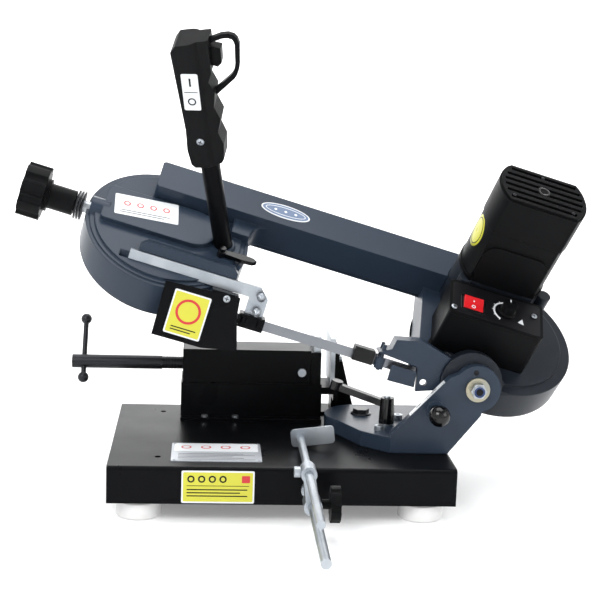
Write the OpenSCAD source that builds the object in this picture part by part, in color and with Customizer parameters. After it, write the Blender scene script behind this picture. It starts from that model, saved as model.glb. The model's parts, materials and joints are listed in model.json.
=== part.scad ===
// Portable swivel-head band saw for metal, as an assembly of separate pieces.
// Millimetres, +Z up. X runs along the front of the base, Y runs away from the operator.

/* [Base] */
// Length of the base tray along X
base_l = 430; // [425:1:436]
// Depth of the base tray along Y
base_d = 308; // [304:1:312]
// Height of the folded tray
tray_h = 46.5; // [44:0.5:48]
// Sheet thickness of the tray
sheet = 2.5; // [2:0.5:3]
// Height of each foot
foot_h = 24; // [24:1:24]
// Diameter of each foot
foot_dia = 57; // [52:1:60]
// Diameter of the bench mounting holes
bench_hole = 8; // [6:0.5:9]

/* [Vise] */
// Height of the vise bed surface above the floor
bed_top = 121; // [119:1:122]
// Pitch of the vise screw
vise_pitch = 4; // [3:0.5:5]

/* [Head] */
// Angle by which the head is raised, in degrees
raise_angle = 16; // [14:0.5:17]
// Tilt of the wheel plane about the blade line, in degrees
wheel_tilt = 33.5; // [33:0.5:34]
// Radius of the blade path round each wheel
wheel_r = 94; // [94:0.5:94]
// Distance between the two wheel axles
wheel_span = 457; // [455:1:459]
// Width of the blade
blade_w = 12.7; // [10:0.1:13]
// Thickness of the blade as drawn
blade_t = 0.8; // [0.6:0.1:1]

/* [Motor] */
// Length of the motor body above the gear case
motor_l = 84; // [80:1:88]
// Length of the slotted end cap
cap_l = 57; // [54:1:60]
// Width across the round sides of the motor
motor_w = 116; // [112:1:118]
// Width across the flat sides of the motor
motor_flat = 74; // [70:1:76]

/* [Hidden] */
// The origin is on the floor, below the middle of the whole machine.
origin_x = 238;
origin_y = 28;
tray_top = foot_h + tray_h;
// A point on the cutting line of the blade, about which the head frames turn.
line_x = 249;
line_y = 105;
line_z = 210;
// The hinge of the head.
hinge_x = 463.5;
hinge_z = 156.3;
ear_y = 70;
ear_t = 14;
lug_y0 = 84.3;
lug_y1 = 125.7;
ear_r = 30.5;
hinge_bore = 6.05;
hinge_end = 94;
// Wheel places in the head frame, whose axes run along the head, across it and out of it.
idler_u = -212;
drive_u = idler_u + wheel_span;
wheel_v = wheel_r;
case_r = wheel_r + 14;
case_wall = 6;
frame_top = 26;
frame_low = -22;
cover_t = 2.2;
// The cover side of both castings is cut at this slope, to clear the vise.
cover_slope = 3;
// Beam of the C frame.
beam_v0 = 139;
beam_v1 = 192;
beam_n0 = 9;
beam_n1 = 55;
// Motor axis in the head frame.
motor_u = 223;
motor_v = 135;
motor_n = 94;
// Gears.
gear_mod = 1.2;
out_teeth = 48;
lay_pinion_teeth = 12;
lay_teeth = 48;
motor_teeth = 10;
lay_mod = 1;
out_lay = gear_mod * (out_teeth + lay_pinion_teeth) / 2;
lay_motor = lay_mod * (lay_teeth + motor_teeth) / 2;
pair = sqrt(pow(motor_u - drive_u, 2) + pow(motor_v - wheel_v, 2));
pair_dir = atan2(motor_v - wheel_v, motor_u - drive_u);
pair_turn = acos((out_lay * out_lay + pair * pair - lay_motor * lay_motor) / (2 * out_lay * pair));
lay_dir = pair_dir - pair_turn;
lay_u = drive_u + out_lay * cos(lay_dir);
lay_v = wheel_v + out_lay * sin(lay_dir);
motor_dir = atan2(motor_v - lay_v, motor_u - lay_u);
// Swivel of the whole head on the base.
swivel_x = 330;
swivel_y = 190;
arm_z = tray_top + 0.5;
arm_top = 91;
lever_x = 358;
lever_y = 137;
// Vise.
vise_y0 = 230;
vise_y1 = 300;
vise_x0 = 85;
vise_x1 = 279;
jaw_x0 = 87;
jaw_x1 = 263;
jaw_face = 277;
jaw_top = 168;
fixed_face = 289.5;
screw_y = 262;
screw_z = 141.5;
bar_x = -50;
bar_turn = 35;
// Work stop rods.
rod_x = 247;
rod_z = 44.5;
arm_rod_x = 241;
arm_rod_z = 84;
clamp_y = -56;
// Control box.
box_u0 = 155;
box_u1 = 283;
box_v0 = 28;
box_v1 = 92;
box_n0 = 24.6;
box_n1 = 92;
knob_u = 232;
knob_v = 58;
rocker_u = 187;
rocker_v = 54;
// Handle, in the plane beside the beam.
grip_v = 91;
grip_lean = 22;
tube_d = 24;
// Clamp lever of the guide bar, and the height of the bar above the blade line.
lever_u = -138;
lever_v = 70;
bar_w0 = 31;
bar_w1 = 46;
// Places of screws and ears.
panel_places = [[161, 38], [270, 66]];
gear_ears = [[motor_u - 48, 101.5], [motor_u + 62, 113]];
cover_places = [[idler_u - 105, wheel_v], [idler_u, wheel_v + 105], [0, wheel_v + 105],
    [drive_u, wheel_v + 105]];
arm_bolt_places = [[345, 108], [377, 166]];
eps = 0.01;

// ---------- frames ----------

// From the corner of the base on the floor to the origin.
module at_base() {
    translate([-origin_x, -origin_y, 0]) children();
}

// Head frame: x along the head, y across the wheels, z out of the wheel plane.
module on_head() {
    at_base() translate([line_x, line_y, line_z]) rotate([wheel_tilt, raise_angle, 0]) children();
}

// Blade frame: x along the blade, y away from the operator, z up across the blade.
module on_blade() {
    at_base() translate([line_x, line_y, line_z]) rotate([0, raise_angle, 0]) children();
}

// Handle frame: x across the grip, y across the head, z along the grip.
module on_grip() {
    on_head() on_grip_from_head() children();
}

module on_grip_from_head() {
    translate([-135, grip_v, 24]) rotate([0, -grip_lean, 0]) children();
}

// ---------- shared shapes ----------

module box(x0, x1, y0, y1, z0, z1) {
    translate([x0, y0, z0]) cube([x1 - x0, y1 - y0, z1 - z0]);
}

module rod(d, h, at = [0, 0, 0]) {
    translate(at) cylinder(d = d, h = h, $fn = 48);
}

module tube(d, bore, h) {
    difference() {
        rod(d, h);
        rod(bore, h + 2, [0, 0, -1]);
    }
}

// Cylinder along X from x0 to x1.
module rod_x(d, x0, x1, y, z) {
    translate([x0, y, z]) rotate([0, 90, 0]) cylinder(d = d, h = x1 - x0, $fn = 48);
}

// Cylinder along Y from y0 to y1.
module rod_y(d, x, y0, y1, z) {
    translate([x, y1, z]) rotate([90, 0, 0]) cylinder(d = d, h = y1 - y0, $fn = 48);
}

// Hexagon bolt head or nut, across flats af.
module hexagon(af, h) {
    cylinder(d = af / cos(30), h = h, $fn = 6);
}

// Flat outline with rounded corners, from corner to corner.
module rounded_rect(x0, x1, y0, y1, r) {
    translate([x0 + r, y0]) square([x1 - x0 - 2 * r, y1 - y0]);
    translate([x0, y0 + r]) square([x1 - x0, y1 - y0 - 2 * r]);
    for (x = [x0 + r, x1 - r], y = [y0 + r, y1 - r]) translate([x, y]) circle(r = r, $fn = 48);
}

module rounded_box(x0, x1, y0, y1, z0, z1, r) {
    translate([0, 0, z0]) linear_extrude(height = z1 - z0) rounded_rect(x0, x1, y0, y1, r);
}

// Star knob with lobes round its rim.
module lobed(d, lobes, h) {
    linear_extrude(height = h) difference() {
        circle(d = d, $fn = 64);
        for (i = [0:lobes - 1]) rotate(360 * (i + 0.5) / lobes) translate([d * 0.56, 0])
            circle(d = d * 0.24, $fn = 32);
    }
}

// Spur gear outline with straight-sided teeth, one tooth centred on +X.
module gear(teeth, mod, h) {
    pitch = mod * teeth / 2;
    step = 360 / teeth;
    root = pitch - 1.15 * mod;
    tip = pitch + 0.8 * mod;
    profile = [[root, -0.3], [pitch, -0.215], [tip, -0.11], [tip, 0.11], [pitch, 0.215], [root, 0.3]];
    linear_extrude(height = h) polygon([for (i = [0:teeth - 1], p = profile)
        [p[0] * cos(step * (i + p[1])), p[0] * sin(step * (i + p[1]))]]);
}

// ---------- base ----------

foot_places = [for (x = [38, base_l - 39], y = [34, base_d - 34]) [x, y]];
bench_places = [[60.5, 44], [60.5, base_d - 44]];
bed_bolt_places = [[118, vise_y0 - 8], [160, vise_y0 - 8], [118, vise_y1 + 4], [160, vise_y1 + 4]];

module base_tray() {
    fold = 5;
    color("#16171b") at_base() difference() {
        intersection() {
            translate([0, 0, 0]) rotate([90, 0, 90]) linear_extrude(height = base_l)
                rounded_rect(0, base_d, foot_h - fold, tray_top, fold);
            box(0, base_l, 0, base_d, foot_h, tray_top);
        }
        intersection() {
            translate([sheet, 0, 0]) rotate([90, 0, 90]) linear_extrude(height = base_l - 2 * sheet)
                rounded_rect(sheet, base_d - sheet, foot_h - fold, tray_top - sheet, fold - sheet);
            box(sheet, base_l - sheet, sheet, base_d - sheet, foot_h - 1, tray_top - sheet);
        }
        for (p = bench_places) rod(bench_hole, 2 * sheet + 2, [p[0], p[1], tray_top - sheet - 1]);
        for (p = bed_bolt_places) rod(5.2, 2 * sheet + 2, [p[0], p[1], tray_top - sheet - 1]);
        rod(12.1, 12, [swivel_x, swivel_y, tray_top - 6]);
        rod_y(12.1, rod_x, -1, 6, rod_z);
        arc_slot(9);
    }
    // Inner corner brackets carry the feet.
    color("#16171b") at_base() for (p = foot_places) difference() {
        box(max(sheet - eps, p[0] - 34), min(base_l - sheet + eps, p[0] + 34), max(sheet - eps, p[1] - 31),
            min(base_d - sheet + eps, p[1] + 31), foot_h, foot_h + 3);
        rod(8.2, 6, [p[0], p[1], foot_h - 1]);
    }
}

// Slot for the clamping stud, curved about the swivel bolt.
slot_r = sqrt(pow(lever_x - swivel_x, 2) + pow(lever_y - swivel_y, 2));
slot_a = atan2(lever_y - swivel_y, lever_x - swivel_x);
module arc_slot(w) {
    margin = 5;
    translate([swivel_x, swivel_y, tray_top - 6]) rotate(slot_a - margin)
        rotate_extrude(angle = 45 + 2 * margin, $fn = 96) translate([slot_r - w / 2, 0]) square([w, 8]);
}

module feet() {
    color("#ececea") at_base() for (p = foot_places) translate([p[0], p[1], 0]) difference() {
        rotate_extrude($fn = 96) polygon([[0, 0], [foot_dia / 2 - 2, 0], [foot_dia / 2, 2],
            [foot_dia / 2, foot_h - 4], [foot_dia / 2 - 2, foot_h - 2], [20, foot_h], [0, foot_h]]);
        rod(8.2, foot_h + 2, [0, 0, -1]);
        rod(18, 8, [0, 0, -1]);
    }
}

module foot_bolts() {
    color("#9aa0a8") at_base() for (p = foot_places) translate([p[0], p[1], 0]) {
        translate([0, 0, 2]) hexagon(13, 5);
        rod(8, foot_h + 8, [0, 0, 2]);
        translate([0, 0, foot_h + 3]) hexagon(13, 6.5);
    }
}

module data_plate() {
    color("#b9bcc0") at_base() difference() {
        rounded_box(77, 190, 24, 104, tray_top, tray_top + 0.8, 3);
        for (x = [81, 186], y = [28, 100]) rod(2.5, 3, [x, y, tray_top - 1]);
    }
}

// ---------- vise ----------

module vise_bed() {
    flange = 13;
    color("#111215") at_base() difference() {
        union() {
            box(vise_x0, vise_x1, vise_y0, vise_y1, tray_top, bed_top);
            box(vise_x0, vise_x1, vise_y0 - flange, vise_y1 + 8, tray_top, tray_top + 4);
            box(vise_x1 - 1, fixed_face + 39, vise_y0 + 30, vise_y1 + 8, tray_top, tray_top + 4);
            // Nut block of the vise screw.
            box(vise_x0 + 6, vise_x0 + 34, screw_y - 14, screw_y + 14, bed_top - 1, screw_z + 13);
        }
        rod_x(17.6, vise_x0, vise_x0 + 40, screw_y, screw_z);
        box(vise_x0 - 1, vise_x1 + 1, vise_y0 + 4, vise_y1 - 4, tray_top - 1, bed_top - 5);
        for (p = bed_bolt_places) rod(5.2, 8, [p[0], p[1], tray_top - 1]);
    }
}

// The front pair has nuts below the tray; the back pair is screwed into it, beside its back wall.
module vise_bed_bolts() {
    color("#2a2b2e") at_base() for (p = bed_bolt_places) translate([p[0], p[1], tray_top]) {
        below = p[1] < vise_y0 ? sheet + 5 : sheet;
        rod(5, below + 4, [0, 0, -below]);
        translate([0, 0, 4]) hexagon(8, 3.2);
        if (p[1] < vise_y0) translate([0, 0, -sheet - 4]) hexagon(8, 3.9);
    }
}

module fixed_jaw_bracket() {
    gusset_y = vise_y0 + 32;
    color("#111215") at_base() {
        difference() {
            box(fixed_face + 6, fixed_face + 13, vise_y0 + 4, vise_y1, arm_top + 6, bed_top + 50);
            for (y = jaw_screw_ys) rod_x(8.1, fixed_face + 5, fixed_face + 14, y, bed_top + 34);
        }
        box(fixed_face + 6, fixed_face + 13, gusset_y, vise_y1, tray_top + 4.4, arm_top + 7);
        box(vise_x1 - 20, fixed_face + 7, vise_y0 + 5, vise_y1 - 5, bed_top - 15, bed_top - 5.4);
        for (y = [gusset_y, vise_y1 - 5]) translate([0, y + 5, 0]) rotate([90, 0, 0]) linear_extrude(height = 5)
            polygon([[fixed_face + 12, tray_top + 4.4], [fixed_face + 38, tray_top + 4.4],
                [fixed_face + 38, 79], [fixed_face + 19, 153], [fixed_face + 12, 153]]);
    }
}

jaw_screw_ys = [vise_y0 + 14, vise_y1 - 14];

module fixed_jaw_plate() {
    color("#aeb3b9") at_base() {
        box(fixed_face, fixed_face + 6, vise_y0 - 8, vise_y1, bed_top, 187);
        for (y = jaw_screw_ys) rod_x(8, fixed_face + 5, fixed_face + 17, y, bed_top + 34);
    }
}

module moving_jaw() {
    wall = 4;
    color("#101114") at_base() difference() {
        box(jaw_x0, jaw_x1, vise_y0, vise_y1 - 6, bed_top + 0.4, jaw_top);
        box(jaw_x0 + wall, jaw_x1 - wall, vise_y0 + wall, vise_y1 - 6 - wall, bed_top - 1, jaw_top - wall);
        box(jaw_x0 - 1, jaw_x0 + wall + 1, screw_y - 15, screw_y + 15, bed_top - 1, screw_z + 14);
        rod_y(6.1, 250.7, vise_y0 - 1, vise_y0 + wall + 1, 138);
        rod_x(10.2, jaw_x1 - wall - 1, jaw_x1 + 1, screw_y, screw_z);
        box(jaw_x0 - 1, jaw_x1 + 1, vise_y1 - 14, vise_y1, 155, jaw_top + 1);
    }
}

module moving_jaw_plate() {
    color("#14151a") at_base() difference() {
        union() {
            box(jaw_x1, jaw_face, vise_y0 - 2, vise_y1 - 2, bed_top + 0.4, 166);
            box(jaw_face - 10, jaw_face, vise_y0 + 4, vise_y1 - 2, 165, 187);
        }
        rod_x(10.2, jaw_x1 - 1, jaw_face - 5, screw_y, screw_z);
    }
}

module jaw_bolt() {
    color("#c9cdd2") at_base() {
        rod_y(6, 250.7, vise_y0 - 3, vise_y0 + 10, 138);
        rod_y(11.5, 250.7, vise_y0 - 5, vise_y0, 138);
    }
}

module vise_screw() {
    color("#121316") at_base() difference() {
        union() {
            rod_x(19, -66, 58, screw_y, screw_z);
            rod_x(17, 57, jaw_x1 - 30, screw_y, screw_z);
            for (i = [0:vise_pitch:24]) rod_x(17.3, 59 + i, 59 + i + vise_pitch * 0.5, screw_y, screw_z);
            rod_x(10, jaw_x1 - 31, jaw_face - 6, screw_y, screw_z);
        }
        translate([bar_x, screw_y, screw_z]) rotate([-bar_turn, 0, 0]) rod(7.3, 40, [0, 0, -20]);
    }
}

module vise_bar() {
    color("#6b7076") at_base() translate([bar_x, screw_y, screw_z]) rotate([-bar_turn, 0, 0]) {
        rod(7, 88, [0, 0, -24]);
        for (z = [-24, 64]) translate([0, 0, z]) sphere(d = 15, $fn = 48);
    }
}

// ---------- work stop ----------

module stop_rod() {
    color("#b4b8be") at_base() {
        rod_y(12, rod_x, -251, 12, rod_z);
        for (y = [2.5, -7]) translate([rod_x, y, rod_z]) rotate([-90, 0, 0]) tube(20, 12.02, 7);
    }
}

module stop_clamp() {
    half = 14;
    color("#b9bdc3") at_base() difference() {
        union() {
            rod_y(22, rod_x, clamp_y - half, clamp_y + half, rod_z);
            rod_y(19, arm_rod_x, clamp_y - half, clamp_y + half, arm_rod_z);
            translate([0, clamp_y + half, 0]) rotate([90, 0, 0]) linear_extrude(height = 2 * half)
                polygon([[rod_x - 8, rod_z], [rod_x + 8, rod_z], [arm_rod_x + 7, arm_rod_z],
                    [arm_rod_x - 7, arm_rod_z]]);
        }
        rod_y(12.1, rod_x, clamp_y - 20, clamp_y + 20, rod_z);
        rod_y(10.1, arm_rod_x, clamp_y - 20, clamp_y + 20, arm_rod_z);
        rod_x(6.1, rod_x + 5, rod_x + 20, clamp_y, rod_z);
        rod_x(6.1, arm_rod_x - 20, arm_rod_x - 4, clamp_y, arm_rod_z);
    }
}

module stop_clamp_bolt() {
    color("#c4c8cd") at_base() {
        rod_x(6, arm_rod_x - 13, arm_rod_x - 5.2, clamp_y, arm_rod_z);
        rod_x(13, arm_rod_x - 17, arm_rod_x - 9.6, clamp_y, arm_rod_z);
    }
}

module stop_arm() {
    plate_l = 56;
    color("#b4b8be") at_base() {
        rod_y(10, arm_rod_x, -242, 92, arm_rod_z);
        translate([arm_rod_x, 92, arm_rod_z]) rotate([0, -7, 0]) rotate([90, 0, 0])
            rounded_box(-12, plate_l - 12, -11, 12, 0, 4, 5);
    }
}

module stop_knob() {
    color("#1c1d20") at_base() {
        rod_x(6, rod_x + 6.3, rod_x + 24, clamp_y, rod_z);
        rod_x(12, rod_x + 11.3, rod_x + 22, clamp_y, rod_z);
        translate([rod_x + 21, clamp_y, rod_z]) rotate([0, 90, 0]) lobed(44, 6, 12);
    }
}

// ---------- swivel arm and its locks ----------

module ear_outline() {
    translate([hinge_x, hinge_z]) circle(r = ear_r, $fn = 96);
    polygon([[355, arm_z], [355, 95], [428, 171], [440, 176], [471, 126.8], [470, 122], [429, arm_z]]);
}

module swivel_arm() {
    color("#3f4858") at_base() difference() {
        union() {
            // Plate on the base.
            translate([0, 0, arm_z]) linear_extrude(height = arm_top - arm_z) {
                translate([swivel_x, swivel_y]) circle(r = 50, $fn = 128);
                polygon([[swivel_x - 38, swivel_y - 30], [320, 103], [355, ear_y], [429, ear_y], [429, 238],
                    [420, swivel_y + 50], [swivel_x, swivel_y + 50]]);
            }
            // Upright ear with its stiffening web.
            translate([0, ear_y + ear_t, 0]) rotate([90, 0, 0]) linear_extrude(height = ear_t) ear_outline();
            translate([400, ear_y + ear_t - 1, 0]) rotate([90, 0, 90])
                linear_extrude(height = 14) polygon([[0, arm_top - 2], [23, arm_top - 2], [0, 112]]);
            // Boss of the locking pin.
            rod_y(24, 411, ear_y - 4, ear_y + 10, 129);
        }
        rod_y(2 * hinge_bore, hinge_x, ear_y - 10, 150, hinge_z);
        rod_y(8.1, 411, ear_y - 10, 100, 129);
        rod(12.1, 40, [swivel_x, swivel_y, arm_z - 5]);
        rod(10.1, 40, [lever_x, lever_y, arm_z - 5]);
        for (p = arm_bolt_places) rod(8.1, 40, [p[0], p[1], arm_z - 5]);
    }
}

module swivel_bolt() {
    color("#9da2a8") at_base() {
        rod(12, 34, [swivel_x, swivel_y, tray_top - sheet - 9]);
        translate([swivel_x, swivel_y, tray_top - sheet - 9]) hexagon(19, 8.8);
        translate([swivel_x, swivel_y, arm_top + 0.4]) hexagon(19, 7);
    }
}

module arm_bolts() {
    color("#3a3c40") at_base() for (p = arm_bolt_places) {
        rod(8, 14, [p[0], p[1], arm_top - 12]);
        rod(13, 6, [p[0], p[1], arm_top]);
    }
}

module lock_stud() {
    color("#a3a8ae") at_base() {
        rod(8.6, 22, [lever_x, lever_y, tray_top - 11]);
        translate([lever_x, lever_y, tray_top - 11]) rod(17, 5);
        rod(10, 30, [lever_x, lever_y, arm_z + 10]);
        rod(20, 2, [lever_x, lever_y, arm_top + 0.2]);
    }
}

module lock_lever() {
    hub_z = arm_top + 2.5;
    reach = 72;
    color("#17181b") at_base() translate([lever_x, lever_y, 0]) rotate(158) {
        difference() {
            union() {
                translate([0, 0, hub_z]) rotate_extrude($fn = 64)
                    polygon([[0, 0], [10.5, 0], [9, 34], [0, 34]]);
                translate([0, 0, hub_z + 22]) rotate([0, -14, 0]) translate([2, -5, -2]) cube([reach, 10, 9]);
                translate([0, 0, hub_z + 22]) rotate([0, -14, 0]) rod(16, 12, [reach + 2, 0, -2]);
            }
            rod(10.3, 21, [0, 0, hub_z - 1]);
        }
        rod(8, 3, [0, 0, hub_z + 33]);
    }
}

module hinge_bolt() {
    color("#8c9197") at_base() difference() {
        rod_y(12, hinge_x, ear_y - 14, hinge_end, hinge_z);
        rod_y(5, hinge_x, ear_y - 15, ear_y - 12, hinge_z);
    }
}

module hinge_spacer() {
    color("#c7c2a8") at_base() translate([hinge_x, ear_y - 0.3, hinge_z]) rotate([90, 0, 0]) tube(31, 12.3, 4);
}

module hinge_nut() {
    color("#8f959c") at_base() translate([hinge_x, ear_y - 4.5, hinge_z]) rotate([90, 0, 0]) difference() {
        union() {
            hexagon(18, 8);
            rod(15, 3, [0, 0, 8 - eps]);
        }
        rod(12.1, 12, [0, 0, -1]);
    }
}

module lock_pin() {
    color("#141518") at_base() {
        rod_y(8, 411, ear_y - 22, ear_y + ear_t - 3, 129);
        translate([411, ear_y - 32, 129]) sphere(d = 27, $fn = 64);
        rod_y(14, 411, ear_y - 24, ear_y - 5, 129);
    }
}

// ---------- head castings ----------

// Outline of the left wheel case with its rounded inner corner.
module left_case_2d(inset = 0) {
    translate([idler_u, wheel_v]) circle(r = case_r - inset, $fn = 128);
}

module right_case_2d(inset = 0) {
    translate([drive_u, wheel_v]) circle(r = case_r - inset, $fn = 128);
}

module head_frame() {
    wall = case_wall;
    color("#3a4252") on_head() difference() {
        union() {
            // Left wheel case with a stepped face.
            translate([idler_u, wheel_v, frame_low]) cylinder(r = case_r, h = frame_top - frame_low, $fn = 128);
            translate([idler_u, wheel_v, frame_top - eps]) cylinder(r = case_r - 5, h = 2, $fn = 128);
            translate([idler_u, wheel_v, frame_top - eps]) cylinder(r = case_r - 11, h = 5, $fn = 128);
            // Raised plateau over the tension slide, with a round end.
            translate([0, 0, frame_top]) linear_extrude(height = 12) {
                rounded_rect(idler_u - 88, idler_u + 30, 68, 134, 6);
                rounded_rect(idler_u - 20, idler_u + 62, 68, 134, 32);
            }
            // Ridge of the beam, and the channel of the returning blade.
            rounded_box(-243, 190, beam_v0, beam_v1, frame_top - 2, beam_n1, 5);
            box(-160, 187, beam_v0, beam_v1, beam_n0, frame_top);
            box(idler_u, 187, wheel_r * 2 - 12, case_r + wheel_v, frame_low, beam_n0 + eps);
            box(-160, 160, beam_v0 + 4, wheel_r * 2, 0, beam_n0 + eps);
            // Inner corner of the C.
            difference() {
                box(-132, -84, 112, beam_v0 + 8, beam_n0, 40);
                translate([-84, 115, 0]) cylinder(r = 24, h = 60, $fn = 96);
            }
            // Ridge behind the guide bar, at the angle of the blade.
            on_blade_from_head() translate([0, 24, 0]) rotate([90, 0, 0]) linear_extrude(height = 26)
                polygon([[-240, 14], [-150, 14], [-126, 28], [-112, 28], [-112, 54], [-118, 60],
                    [-232, 60], [-240, 54]]);
            // Boss of the tension screw.
            rod_x(34, -316, idler_u - 80, wheel_v, 22);
            // Foot of the frame at the drive end.
            box(140, 188, 24, beam_v1, frame_low, 24);
            // Socket of the handle tube.
            on_grip_from_head() rod(tube_d + 6, 10, [0, 0, -2]);
        }
        // Hollow of the wheel cases and of the blade channel.
        translate([idler_u, wheel_v, frame_low - 1])
            cylinder(r = case_r - wall, h = frame_top - wall - frame_low + 1, $fn = 128);
        box(idler_u, 202, wheel_r * 2 - 7, case_r + wheel_v - wall, frame_low - 1, beam_n0 - 1);
        translate([drive_u, wheel_v, frame_low - 1]) cylinder(r = case_r - wall, h = 37, $fn = 128);
        box(-150, 150, beam_v0 + 8, beam_v1 - 8, beam_n0 + 4, beam_n1 - 8);
        // Room of the slider, and the bore of its screw.
        box(idler_u - 34, idler_u + 46, wheel_v - 22, wheel_v + 22, frame_top - wall - 1, 29.5);
        rod_x(16.4, -340, idler_u - 33, wheel_v, 22);
        // Way of the guide bar, and the mouth where the blade leaves the case.
        on_blade_from_head() box(-262, -92, -5.2, 5.2, 30.4, 46.6);
        on_blade_from_head() box(idler_u + 30, -80, -16, 16, -18, 14);
        on_grip_from_head() rod(tube_d + 0.02, 40, [0, 0, 0]);
        cover_screw_holes();
        // Room of the gear case.
        translate([motor_u, motor_v, 24]) linear_extrude(height = 60) motor_2d(motor_w + 3, motor_flat + 3);
        // Seam of the drive housing, and the sloping back.
        translate([0, 0, frame_low - 2]) linear_extrude(height = 60) seam_side();
        below_cover(0);
    }
}

// Everything on the far side of the sloping back, moved out by gap.
module below_cover(gap) {
    translate([0, wheel_v - case_r, frame_low - gap]) rotate([cover_slope, 0, 0]) translate([-500, -100, -100])
        cube([1000, 500, 100]);
}

// The blade frame inside the head frame.
module on_blade_from_head() {
    rotate([-wheel_tilt, 0, 0]) children();
}

// Plan of the drive side of the seam.
module seam_side() {
    polygon([[150, -60], [150, 20], [188, beam_v0 - 2], [188, 260], [420, 260], [420, -60]]);
}

module drive_housing() {
    wall = case_wall;
    color("#34363b") on_head() difference() {
        union() {
            intersection() {
                translate([0, 0, frame_low]) linear_extrude(height = 21 - frame_low) right_case_2d();
                translate([0.3, 0, frame_low - 1]) linear_extrude(height = 60) seam_side();
            }
            translate([drive_u, wheel_v, 21 - eps]) cylinder(r = case_r - 14, h = 3, $fn = 128);
            on_blade_from_head() lug();
        }
        translate([drive_u, wheel_v, frame_low - 1]) cylinder(r = case_r - wall, h = 15 - frame_low, $fn = 128);
        translate([drive_u, wheel_v, 14 - eps]) cylinder(d = 35.06, h = 8, $fn = 96);
        translate([drive_u, wheel_v, -10]) cylinder(d = 22, h = 60, $fn = 64);
        // Mouth of the blade, the hinge bolt, and the flat beside the ear.
        on_blade_from_head() box(80, drive_u - 12, -7, 16, -18, 15);
        box(140, drive_u - 30, wheel_r * 2 - 7, wheel_r * 2 + 7, frame_low - 1, beam_n0 - 1);
        cover_screw_holes();
        on_blade_from_head() hinge_hole();
        on_blade_from_head() box(100, 420, -80, lug_y0 - line_y, -80, 40);
        translate([-10, 0, 0]) translate([0, 0, frame_low - 1]) linear_extrude(height = 60) difference() {
            square([200, 260]);
            translate([10.3, 0]) seam_side();
        }
        below_cover(0);
    }
}

// Hinge axis in the blade frame.
hinge_du = (hinge_x - line_x) * cos(raise_angle) - (hinge_z - line_z) * sin(raise_angle);
hinge_dw = (hinge_x - line_x) * sin(raise_angle) + (hinge_z - line_z) * cos(raise_angle);

module lug() {
    depth = lug_y1 - lug_y0;
    translate([0, lug_y1 - line_y, 0]) rotate([90, 0, 0]) linear_extrude(height = depth) intersection() {
        union() {
            translate([hinge_du, hinge_dw]) circle(r = 34, $fn = 96);
            translate([hinge_du - 34, hinge_dw]) square([68, 20]);
        }
        polygon([[150, -40], [300, -40], [300, 24], [150, 24]]);
    }
    front_boss(0);
}

// Larger round boss on the near side of the lug.
module front_boss(gap) {
    translate([hinge_du - 6, -2, hinge_dw + 3]) rotate([90, 0, 0])
        cylinder(r = 40 + gap, h = line_y - lug_y0 - 2 + gap, $fn = 96);
}

module hinge_hole() {
    translate([hinge_du, hinge_end - line_y, hinge_dw]) rotate([90, 0, 0]) cylinder(r = 6, h = 60, $fn = 64);
}

module cover_2d(inset = 0) {
    left_case_2d(inset);
    right_case_2d(inset);
    translate([idler_u, wheel_r * 2 - 12 + inset]) square([wheel_span, 26 - 2 * inset]);
}

module blade_cover() {
    color("#141519") on_head() difference() {
        intersection() {
            translate([0, 0, frame_low - 20]) linear_extrude(height = 60) cover_2d(1);
            translate([0, wheel_v - case_r, frame_low - 0.2]) rotate([cover_slope, 0, 0])
                translate([-500, -100, -cover_t]) cube([1000, 500, cover_t]);
        }
        on_blade_from_head() lug_clear();
        for (p = cover_places) rod(4.2, 60, [p[0], p[1], frame_low - 30]);
    }
}

// Height of the back of the cover at a screw, and the screw's own frame there.
module at_cover_screw(p) {
    translate([p[0], p[1], frame_low - cover_t - 0.2 + (p[1] - wheel_v + case_r) * tan(cover_slope)])
        rotate([cover_slope, 0, 0]) children();
}

module cover_screw_holes() {
    for (p = cover_places) at_cover_screw(p) rod(4.1, 13, [0, 0, -4]);
}

module lug_clear() {
    translate([0, 60, 0]) rotate([90, 0, 0]) linear_extrude(height = 120) {
        translate([hinge_du, hinge_dw]) circle(r = 36, $fn = 96);
        translate([hinge_du - 36, hinge_dw]) square([72, 22]);
    }
}

module cover_screws() {
    color("#a0a5ab") on_head() for (p = cover_places) at_cover_screw(p) {
        rod(4, 10, [0, 0, -2.2]);
        rod(9, 2, [0, 0, -2.2]);
    }
}

// ---------- wheels and blade ----------

module wheel(bore) {
    rim = 10;
    difference() {
        union() {
            translate([0, 0, -9]) cylinder(r = wheel_r - 0.4, h = 17, $fn = 128);
            translate([0, 0, 6.8]) cylinder(r = wheel_r + 1.8, h = 2, $fn = 128);
        }
        for (z = [3.5, -13.5]) translate([0, 0, z]) difference() {
            cylinder(r = wheel_r - rim, h = 10, $fn = 128);
            translate([0, 0, -1]) cylinder(r = 22, h = 12, $fn = 64);
        }
        for (i = [0:4]) rotate(72 * i) translate([54, 0, -12]) cylinder(d = 34, h = 24, $fn = 64);
        translate([0, 0, -20]) cylinder(r = bore / 2, h = 40, $fn = 64);
    }
}

module drive_wheel() {
    color("#62666c") on_head() translate([drive_u, wheel_v, 0]) wheel(18);
}

module idler_wheel() {
    color("#62666c") on_head() translate([idler_u, wheel_v, 0]) wheel(15.1);
}

module drive_shaft() {
    color("#9da2a8") on_head() translate([drive_u, wheel_v, 0]) {
        rod(18, 57, [0, 0, -12]);
        rod(26, 2.5, [0, 0, -12]);
        rod(13, 4, [0, 0, -15]);
    }
}

module shaft_bearings() {
    color("#8b9096") on_head() translate([drive_u, wheel_v, 14.2]) tube(35, 18.1, 7.6);
}

module tension_slider() {
    color("#4a4e55") on_head()
        rounded_box(idler_u - 30, idler_u + 36, wheel_v - 21.6, wheel_v + 21.6, 20.5, 29.2, 3);
    color("#9da2a8") on_head() translate([idler_u, wheel_v, 0]) {
        rod(15, 34, [0, 0, -11]);
        rod(22, 2, [0, 0, -13]);
    }
}

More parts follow.
